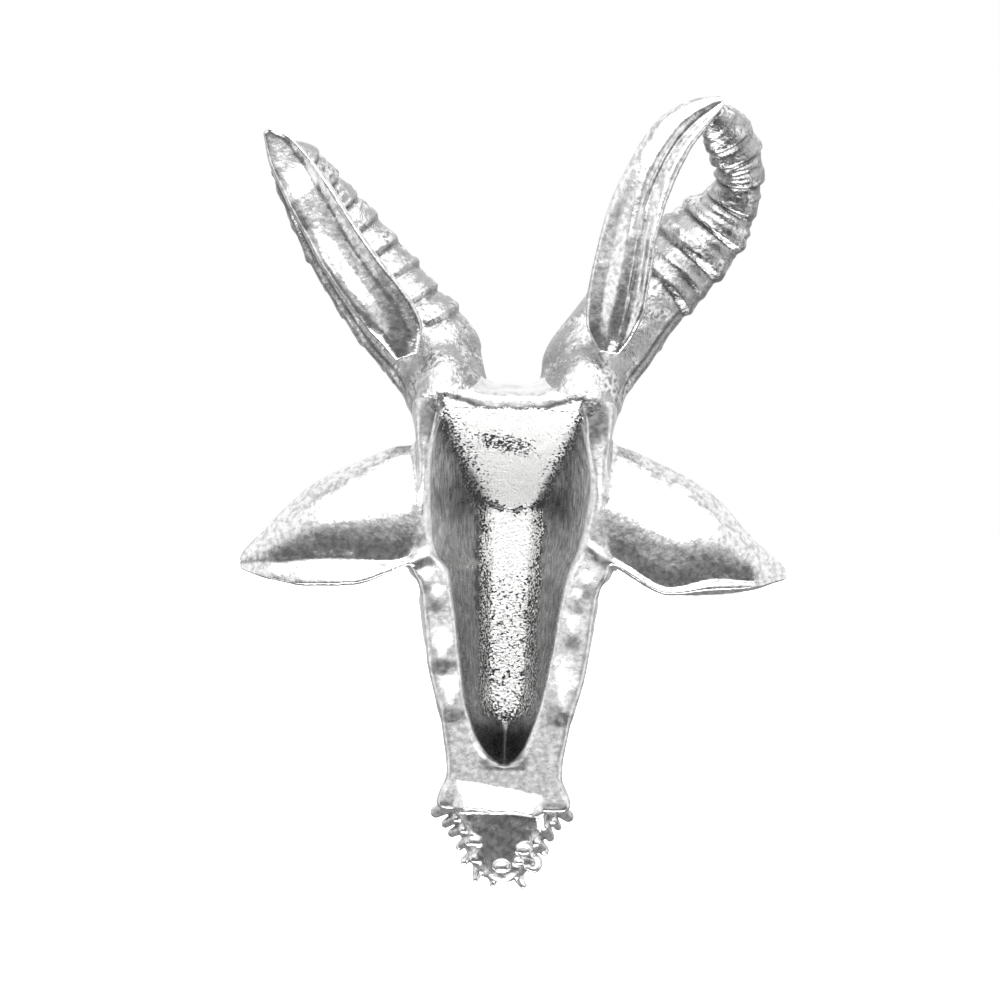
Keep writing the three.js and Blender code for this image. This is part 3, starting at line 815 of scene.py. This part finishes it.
def largest_body(points, quads):
    """Points and faces of the largest connected body, without loose crumbs beside it."""
    label = np.arange(len(points))
    settled = False
    while not settled:
        lowest = label[quads].min(axis=1)
        joined = label.copy()
        for corner in quads.T:
            np.minimum.at(joined, corner, lowest)
        joined = joined[joined]
        settled = np.array_equal(joined, label)
        label = joined
    kept = label == np.bincount(label).argmax()
    renumbered = np.cumsum(kept) - 1
    return points[kept], renumbered[quads[kept[quads[:, 0]]]]


def mesh_of(name, low, values, skin, relief):
    grid = openvdb.FloatGrid(FAR)
    grid.transform = openvdb.createLinearTransform(voxelSize=VOXEL)
    grid.copyFromArray(np.ascontiguousarray(values), ijk=[int(n) for n in low])
    points, quads = largest_body(*grid.convertToQuads())
    points = points + unevenness(points, skin, low, relief)
    mesh = bpy.data.meshes.new(name)
    mesh.from_pydata((points * MM).tolist(), [], quads.tolist())
    mesh.polygons.foreach_set("use_smooth", np.ones(len(quads), bool))
    return mesh, points


RELIEFS = {"head_shell": hair}
CREASE_REACH, CREASE_BLUR, CREASE_HEIGHT = 0.6, 4, 0.2      # of what counts as a crease or a ridge


def add_attribute(mesh, name, values):
    layer = mesh.attributes.new(name, "FLOAT", "POINT")
    layer.data.foreach_set("value", np.asarray(values, np.float32))


def add_piece(node, fields, whole, material):
    low, values, skin = piece_distances(node, fields, whole)
    mesh, points = mesh_of(node + "_skin", low, values, skin, RELIEFS.get(node, no_relief))
    near = np.clip(skin, -CREASE_REACH, CREASE_REACH)
    height = sample(blurred(near, CREASE_BLUR), low, points)
    add_attribute(mesh, "relief", height / CREASE_HEIGHT)
    piece = bpy.data.objects.new(node + "_skin", mesh)
    bpy.context.scene.collection.objects.link(piece)
    mesh.materials.append(material)
    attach(piece, "root")
    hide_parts(node)
    return piece, points


# ---------- materials ----------

class Nodes:
    """Short names for the nodes used here, in one node tree."""

    def __init__(self, tree):
        self.tree = tree

    def node(self, kind, **settings):
        node = self.tree.nodes.new(kind)
        for key, value in settings.items():
            setattr(node, key, value)
        return node

    def link(self, value, socket):
        if isinstance(value, (int, float, tuple)):
            socket.default_value = value
        else:
            self.tree.links.new(value, socket)

    def math(self, operation, a, b=0.0, clamp=False):
        node = self.node("ShaderNodeMath", operation=operation, use_clamp=clamp)
        self.link(a, node.inputs[0])
        self.link(b, node.inputs[1])
        return node.outputs[0]

    def remap(self, value, low, high, to_low=0.0, to_high=1.0):
        node = self.node("ShaderNodeMapRange", interpolation_type="SMOOTHSTEP")
        for socket, item in zip(node.inputs, (value, low, high, to_low, to_high)):
            self.link(item, socket)
        return node.outputs[0]

    def blend(self, factor, a, b):
        node = self.node("ShaderNodeMix")
        for socket, item in zip((node.inputs[0], node.inputs[2], node.inputs[3]), (factor, a, b)):
            self.link(item, socket)
        return node.outputs[0]


class Finish(Nodes):
    """The nodes of a material, with metal as its shader."""

    def __init__(self, name):
        self.material = bpy.data.materials.new(name)
        self.material.use_nodes = True
        super().__init__(self.material.node_tree)
        self.shader = self.tree.nodes["Principled BSDF"]
        self.shader.inputs["Metallic"].default_value = 1.0
        self.place = self.node("ShaderNodeTexCoord").outputs["Object"]

    def attribute(self, name):
        return self.node("ShaderNodeAttribute", attribute_name=name).outputs["Fac"]

    def noise(self, size_mm, detail=3.0, stretch=(1, 1, 1), turn=(0, 0, 0)):
        mapping = self.node("ShaderNodeMapping")
        self.link(self.place, mapping.inputs["Vector"])
        mapping.inputs["Rotation"].default_value = turn
        mapping.inputs["Scale"].default_value = [1 / (size_mm * MM * k) for k in stretch]
        noise = self.node("ShaderNodeTexNoise")
        noise.inputs["Scale"].default_value = 1.0
        noise.inputs["Detail"].default_value = detail
        self.link(mapping.outputs[0], noise.inputs["Vector"])
        return noise.outputs["Fac"]

    def mix(self, factor, a, b):
        node = self.node("ShaderNodeMix", data_type="RGBA")
        self.link(factor, node.inputs[0])
        self.link(a, node.inputs[6])
        self.link(b, node.inputs[7])
        return node.outputs[2]

    def bump(self, height, distance_mm, before=None):
        node = self.node("ShaderNodeBump")
        node.inputs["Distance"].default_value = distance_mm * MM
        self.link(height, node.inputs["Height"])
        if before is not None:
            self.link(before, node.inputs["Normal"])
        return node.outputs[0]

    def finish(self, color, roughness, normal):
        self.link(color, self.shader.inputs["Base Color"])
        self.link(roughness, self.shader.inputs["Roughness"])
        self.link(normal, self.shader.inputs["Normal"])
        return self.material


BRIGHT = (0.93, 0.93, 0.92, 1)
SOFT = (0.78, 0.78, 0.78, 1)
DULL = (0.5, 0.5, 0.5, 1)
GREY = (0.25, 0.25, 0.25, 1)
CREASE_DARK = (0.14, 0.14, 0.145, 1)
BLACK = (0.04, 0.04, 0.04, 1)


def creases(n, noise_mm, low, high):
    """1 in the creases of a surface and 0 on its open parts, with a ragged border."""
    ragged = n.math("ADD", n.attribute("relief"), n.math("MULTIPLY", n.noise(noise_mm, 4), 0.35))
    return n.remap(ragged, low, high, 1.0, 0.0)


def polished_silver():
    """Smooth, slightly scratched metal, a little darker in its creases."""
    n = Finish("polished_silver")
    mottled = n.mix(n.remap(n.noise(0.3, 4), 0.35, 0.6), DULL, SOFT)
    color = n.mix(n.math("MULTIPLY", creases(n, 0.6, -0.35, 0.05), 0.8), mottled, CREASE_DARK)
    roughness = n.remap(n.noise(0.7, 3), 0.3, 0.7, 0.17, 0.3)
    normal = n.bump(n.noise(0.05, 2, stretch=(1, 1, 14), turn=(0.3, 0.2, 0.6)), 0.004)
    normal = n.bump(n.noise(0.28, 4), 0.02, before=normal)
    return n.finish(color, roughness, normal)


def worked_silver():
    """Filed metal: bright on the ridges, dark and scratched in between."""
    n = Finish("worked_silver")
    mottled = n.mix(n.remap(n.noise(0.25, 4), 0.35, 0.6), GREY, SOFT)
    mottled = n.mix(n.remap(n.noise(1.1, 4), 0.38, 0.56), mottled, (0.4, 0.4, 0.4, 1))
    color = n.mix(n.math("MULTIPLY", creases(n, 0.4, -0.3, 0.3), 0.9), mottled, CREASE_DARK)
    roughness = n.remap(n.noise(0.3, 3), 0.3, 0.7, 0.15, 0.35)
    normal = n.bump(n.noise(0.06, 2, stretch=(1, 1, 9), turn=(0.2, 0.5, 0.9)), 0.012)
    normal = n.bump(n.noise(0.22, 5), 0.05, before=normal)
    return n.finish(color, roughness, normal)


def cast_silver():
    """The head: a mottled cast back, a grainy floor, walls with streaks on painted shade, an outside
    darker in its creases, and painted shade in the hollow's scoop and creases.
    """
    n = Finish("cast_silver")
    floor, wall, rim, deep = (n.attribute(zone) for zone in ("floor", "wall", "rim", "deep"))
    outside = n.mix(n.math("MULTIPLY", creases(n, 0.5, -0.3, 0.25), 0.85), SOFT, CREASE_DARK)
    flat = n.mix(n.remap(n.noise(0.3, 5), 0.3, 0.7), DULL, SOFT)
    streak = n.noise(0.11, 4, stretch=(1, 1, 7))
    # Painted shade: the walls' dark grey base stands in for the grazing light on them; the streaks
    # along them are the metal's grain.
    streaks_on_painted_shade = n.mix(n.remap(streak, 0.3, 0.7), (0.2, 0.2, 0.2, 1), (0.42, 0.42, 0.42, 1))
    speck = n.math("ADD", n.noise(0.12, 3, stretch=(1.5, 1, 1)), n.math("MULTIPLY", floor, 0.32))
    grainy = n.mix(n.remap(speck, 0.56, 0.66), BLACK, BRIGHT)
    color = n.mix(rim, outside, flat)
    color = n.mix(wall, color, streaks_on_painted_shade)
    color = n.mix(n.remap(floor, 0.0, 0.2), color, grainy)
    # Painted shade: the scoop, its brim and the creases beside the upper wall go near black, and so do
    # two round dark spots.
    color = n.mix(deep, color, (0.075, 0.075, 0.075, 1))
    rough = n.remap(n.noise(0.4, 3), 0.3, 0.7, 0.22, 0.38)
    roughness = n.math("ADD", rough, n.math("MULTIPLY", floor, 0.15))
    grain = n.math("MULTIPLY", n.noise(0.14, 3), n.remap(floor, 0.0, 0.25))
    normal = n.bump(n.noise(0.25, 4), 0.014)
    normal = n.bump(grain, 0.16, before=normal)
    normal = n.bump(n.math("MULTIPLY", streak, wall), 0.02, before=normal)
    return n.finish(color, roughness, normal)


def line_distance(x, z, start, end):
    """Distance in the plane of the back from points to a straight line piece."""
    along = np.subtract(end, start)
    t = np.clip(((x - start[0]) * along[0] + (z - start[1]) * along[1]) / np.dot(along, along), 0, 1)
    return np.hypot(x - start[0] - t * along[0], z - start[1] - t * along[1])


def painted_shade_and_spots(x, z, rag):
    """How dark the painted shade in the scoop and in the creases beside the upper wall is, and how
    dark two round spots of the hollow are.
    """
    total = smooth_step(*PAINTED_SHADE_SCOOP, z + rag)
    for start, end, width in PAINTED_SHADE_CREASES:
        away = line_distance(x, z, start, end) + rag
        total = np.maximum(total, CREASE_PAINTED_SHADE * smooth_step(width, 0.0, away))
    for centre, reach in DARK_SPOTS:
        away = np.hypot(x - centre[0], z - centre[1]) + 2 * rag
        total = np.maximum(total, DARK_SPOT_STRENGTH * smooth_step(reach, 0.2 * reach, away))
    return total


def grainy(x, z, rag):
    """How grainy the hollow is: its floor, and the upper wall but for a smooth smear on it."""
    upper = z > UPPER_WALL_FOOT
    upper_edge = profile([(UPPER_WALL_FOOT, 1.2), (HOLLOW_TOP, 3.6)])(z)
    edge = np.where(upper, upper_edge, profile(FLOOR_HALF_WIDTH)(z) + 0.2)
    fade = np.where(upper & (x < 0), 1.3, 0.9)
    floor = smooth_step(fade, -fade, np.abs(x) - edge + rag) * smooth_step(-30.9, -29.4, z + rag)
    smear = smooth_step(0.8, 0.2, np.abs(z + 15.0 + 0.15 * x)) * smooth_step(2.4, 0.8, np.abs(x + 0.4))
    lower_grain = 0.4 * smooth_step(-21.0, -23.0, z)
    crease = np.min([line_distance(x, z, start, end) for start, end in GRAINY_CREASE], axis=0)
    return floor * (1 - 0.7 * smear) * (1 - lower_grain) * smooth_step(-0.1, 0.35, crease + rag)


def head_zones(mesh, points):
    """Weights of the hollow's floor and walls, of its painted shade and dark spots, and of the flat
    rim at each point.
    """
    x, y, z = points.T
    rag = 0.16 * lattice_noise(points, 0.28, 5) + 0.12 * lattice_noise(points, 0.9, 6)
    depth = hollow_depth(x, z)
    inside = smooth_step(0.1, 0.3, y) * smooth_step(0.4, 0.2, np.abs(y - depth))
    inside = inside * smooth_step(0.0, 0.3, depth)
    top = smooth_step(-14.0, -13.4, z) * smooth_step(-12.8, -12.95, z) * (y < 1)
    # Painted shade along the brim at the lower end of the scoop.
    brim = smooth_step(-31.6, -32.3, z) * smooth_step(-33.0, -32.85, z)
    brim = brim * smooth_step(1.5, 0.9, np.abs(x) + rag) * smooth_step(3.5, 2.5, y)
    floor = grainy(x, z, rag) * np.maximum(inside, top * smooth_step(0.02, 0.05, y))
    add_attribute(mesh, "floor", floor)
    add_attribute(mesh, "wall", inside * (1 - top))
    # The deep weight carries the painted shade of the scoop, brim and creases, with the two dark
    # spots.
    add_attribute(mesh, "deep", np.maximum(inside * painted_shade_and_spots(x, z, rag), BRIM_PAINTED_SHADE * brim))
    add_attribute(mesh, "rim", smooth_step(0.5, 0.1, y) * (1 - inside))


# ---------- stage, light and camera ----------

FLOOR = {"half": 3.0, "drop": 0.006}      # in metres, below the hanging pendant


def add_floor():
    half, low = FLOOR["half"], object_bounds()[0][2] - FLOOR["drop"]
    mesh = bpy.data.meshes.new("floor")
    corners = [(-half, -half, low), (half, -half, low), (half, half, low), (-half, half, low)]
    mesh.from_pydata(corners, [], [(0, 1, 2, 3)])
    floor = bpy.data.objects.new("floor", mesh)
    bpy.context.scene.collection.objects.link(floor)
    n = Finish("pale_floor")
    n.shader.inputs["Metallic"].default_value = 0.0
    n.shader.inputs["Base Color"].default_value = (0.95, 0.95, 0.95, 1)
    n.shader.inputs["Roughness"].default_value = 0.9
    n.shader.inputs["Emission Color"].default_value = (1, 1, 1, 1)
    n.shader.inputs["Emission Strength"].default_value = 0.8
    mesh.materials.append(n.material)
    floor.visible_glossy = False


# Brightness of the tent around the pendant, by where a direction points.
TENT = {
    "box": 3.1, "level": 0.68, "below": 0.2, "under": 6.5, "side": 1.35, "behind": 1.25,
    "behind_level": 0.75, "behind_below": 0.35,
}
# Where one part of it fades into the next, by how high, sideways or far back a direction points.
TENT_BORDERS = {
    "below": (-0.3, -0.12), "under": (-0.76, -0.9), "side": (0.66, 0.85), "box": (1.15, 0.85),
    "behind_below": (-0.45, -0.1), "behind": (0.15, 0.4), "front": (-0.15, 0.1),
}
BOX_HEIGHT, BOX_HALF_HEIGHT, BOX_HALF_WIDTH = 0.52, 0.44, 0.66


def add_world():
    """A tent: a soft box above the lens, grey level with it and below, light beside and behind."""
    world = bpy.data.worlds.new("tent")
    bpy.context.scene.world = world
    world.use_nodes = True
    n = Nodes(world.node_tree)
    n.tree.nodes.clear()

    def past(border, value):
        low, high = TENT_BORDERS[border]
        return n.remap(value, min(low, high), max(low, high), float(low > high), float(low < high))

    split = n.node("ShaderNodeSeparateXYZ")
    n.link(n.node("ShaderNodeTexCoord").outputs["Generated"], split.inputs[0])
    x, y, z = split.outputs
    sideways = n.math("ABSOLUTE", x)
    front = n.blend(past("below", z), TENT["below"], TENT["level"])
    front = n.blend(past("under", z), front, TENT["under"])
    wide = n.math("POWER", n.math("DIVIDE", sideways, BOX_HALF_WIDTH), 2.0)
    rise = n.math("DIVIDE", n.math("SUBTRACT", z, BOX_HEIGHT), BOX_HALF_HEIGHT)
    from_centre = n.math("ADD", wide, n.math("POWER", rise, 2.0))
    front = n.blend(past("box", from_centre), front, TENT["box"])
    front = n.blend(past("side", sideways), front, TENT["side"])
    behind = n.blend(past("behind_below", z), TENT["behind_below"], TENT["behind_level"])
    behind = n.blend(past("behind", z), behind, TENT["behind"])
    total = n.blend(past("front", y), front, behind)
    seen = n.blend(n.node("ShaderNodeLightPath").outputs["Is Camera Ray"], total, 1.0)
    background = n.node("ShaderNodeBackground")
    n.link(seen, background.inputs["Color"])
    n.link(background.outputs[0], n.node("ShaderNodeOutputWorld").inputs[0])


LENS = 120.0
SENSOR = 36.0
VIEW_WIDTH = 55.0            # millimetres across the picture in the plane of the flat back
AIM = (-0.66, 0.0, -18.06)
ROLL = math.radians(1.6)


def add_camera():
    data = bpy.data.cameras.new("camera")
    data.lens = LENS
    data.sensor_width = SENSOR
    camera = bpy.data.objects.new("camera", data)
    bpy.context.scene.collection.objects.link(camera)
    distance = VIEW_WIDTH * LENS / SENSOR
    place = Vector(AIM) * MM + Vector((0, -distance * MM, 0))
    level = Matrix.Rotation(math.pi / 2, 4, "X")
    camera.matrix_world = Matrix.Translation(place) @ level @ Matrix.Rotation(ROLL, 4, "Z")
    data.clip_start = 0.01
    bpy.context.scene.camera = camera


KEY_LIGHT = {"name": "key", "place": (0.0, -0.30, 0.25), "size": 0.16, "power": 0.05}


def add_light(name, place, size, power):
    data = bpy.data.lights.new(name, "AREA")
    data.shape = "DISK"
    data.size = size
    data.energy = power
    light = bpy.data.objects.new(name, data)
    bpy.context.scene.collection.objects.link(light)
    light.location = place
    aim = Vector(AIM) * MM - Vector(place)
    light.rotation_euler = aim.to_track_quat("-Z", "Y").to_euler()


# ---------- build ----------

def build():
    fields = component_fields()
    whole = whole_pendant(fields)
    cast, worked, polished = cast_silver(), worked_silver(), polished_silver()
    head, points = add_piece("head_shell", fields, whole, cast)
    head_zones(head.data, points)
    add_piece("beard", fields, whole, polished)
    finishes = {
        "horn_boss": (worked, "worked_silver"), "horn": (worked, "worked_silver"),
        "horn_strap": (polished, "polished_silver"), "ear": (polished, "polished_silver"),
    }
    for part, (material, slot) in finishes.items():
        for side in SIDES:
            add_piece(f"{side}_{part}", fields, whole, material)


build()
add_floor()
add_world()
add_camera()
add_light(**KEY_LIGHT)
bpy.context.scene.view_settings.view_transform = "Standard"
